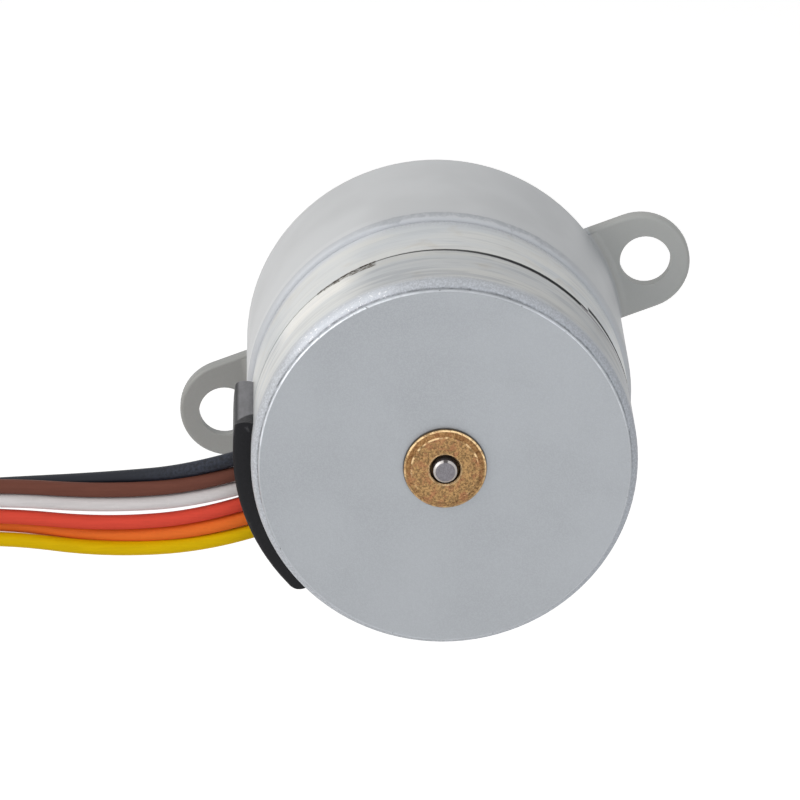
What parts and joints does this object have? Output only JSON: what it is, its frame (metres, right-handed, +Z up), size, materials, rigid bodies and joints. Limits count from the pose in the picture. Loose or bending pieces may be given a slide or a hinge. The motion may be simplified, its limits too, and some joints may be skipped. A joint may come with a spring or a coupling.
{
  "type": "geared stepper motor",
  "caption": "Round tin-can stepper motor with a coaxial spur gearbox, two mounting ears, a flatted output shaft, a bronze rear bush and a row of coloured leads with a connector.",
  "frame": {"origin": "centre of the two ear holes, on the mounting face at the output end", "axes": "+Y along the motor axis towards the output shaft, +Z up as in the picture, ear line tilted about Y"},
  "size_m": [0.0682, 0.0367, 0.0726],
  "materials": {
    "end_plate_steel": "tin-plated sheet steel, matte and faintly mottled",
    "cup_steel": "zinc-plated deep-drawn steel with fine streaks around",
    "cast_zinc": "die-cast zinc, matte light gray",
    "bronze": "oil-soaked sintered bronze, mottled",
    "shaft_steel": "ground steel",
    "yoke_steel": "plain sheet steel",
    "magnet": "dark gray sintered ferrite",
    "hub_plastic": "black moulded plastic",
    "bobbin_plastic": "natural moulded plastic",
    "copper_wire": "enamelled copper winding",
    "pin_metal": "tinned square wire",
    "cover_plastic": "black moulded nylon, satin",
    "washer_plastic": "natural slippery plastic",
    "pinion_brass": "cut brass",
    "gear_plastic": "natural acetal",
    "gear_steel": "sintered steel",
    "ring_steel": "blackened spring steel",
    "connector_plastic": "natural nylon",
    "contact_metal": "tinned phosphor bronze",
    "insulation_black": "soft vinyl, satin",
    "insulation_brown": "soft vinyl, satin",
    "insulation_white": "soft vinyl, satin",
    "insulation_red": "soft vinyl, satin",
    "insulation_orange": "soft vinyl, satin",
    "insulation_yellow": "soft vinyl, satin"
  },
  "bodies": {
    "motor_frame": {"rear_end_plate": "end_plate_steel", "rear_bush": "bronze", "rear_stator_cup": "cup_steel", "rear_inner_yoke": "yoke_steel", "rear_bobbin": "bobbin_plastic", "rear_coil": "copper_wire", "front_stator_cup": "cup_steel", "front_inner_yoke": "yoke_steel", "front_bobbin": "bobbin_plastic", "front_coil": "copper_wire", "terminal_pins": "pin_metal", "wire_cover": "cover_plastic", "rear_thrust_washer": "washer_plastic", "front_thrust_washer": "washer_plastic", "gear_plate": "yoke_steel", "front_bush": "bronze", "first_gear_pin": "shaft_steel", "second_gear_pin": "shaft_steel", "output_bush": "bronze", "output_washer": "washer_plastic", "gearbox_housing": "cast_zinc", "connector_housing": "connector_plastic", "connector_contacts": "contact_metal", "lead_black": "insulation_black", "lead_brown": "insulation_brown", "lead_white": "insulation_white", "lead_red": "insulation_red", "lead_orange": "insulation_orange", "lead_yellow": "insulation_yellow"},
    "rotor": {"rotor_shaft": "shaft_steel", "rotor_magnet": "magnet", "rotor_hub": "hub_plastic", "motor_pinion": "pinion_brass"},
    "first_gear_cluster": {"first_gear": "gear_plastic"},
    "second_gear_cluster": {"second_gear": "gear_plastic"},
    "output": {"output_shaft": "shaft_steel", "output_gear": "gear_steel", "retaining_ring": "ring_steel"}
  },
  "joints": [
    {"name": "rotor_spin", "type": "hinge", "parent": "motor_frame", "child": "rotor", "pos_m": [0, -0.01915, 0], "axis": [0, 1, 0], "continuous": true},
    {"name": "first_gear_spin", "type": "hinge", "parent": "motor_frame", "child": "first_gear_cluster", "pos_m": [0.00385, -0.01027, -0.00319], "axis": [0, 1, 0], "continuous": true},
    {"name": "second_gear_spin", "type": "hinge", "parent": "motor_frame", "child": "second_gear_cluster", "pos_m": [0.00024, -0.00747, -0.007], "axis": [0, 1, 0], "continuous": true},
    {"name": "output_spin", "type": "hinge", "parent": "motor_frame", "child": "output", "pos_m": [0, 0, 0], "axis": [0, 1, 0], "continuous": true}
  ],
  "couplings": [
    {"joint": "first_gear_spin", "follows": "rotor_spin", "ratio": -0.33333},
    {"joint": "second_gear_spin", "follows": "rotor_spin", "ratio": 0.13333},
    {"joint": "output_spin", "follows": "rotor_spin", "ratio": -0.033333}
  ]
}
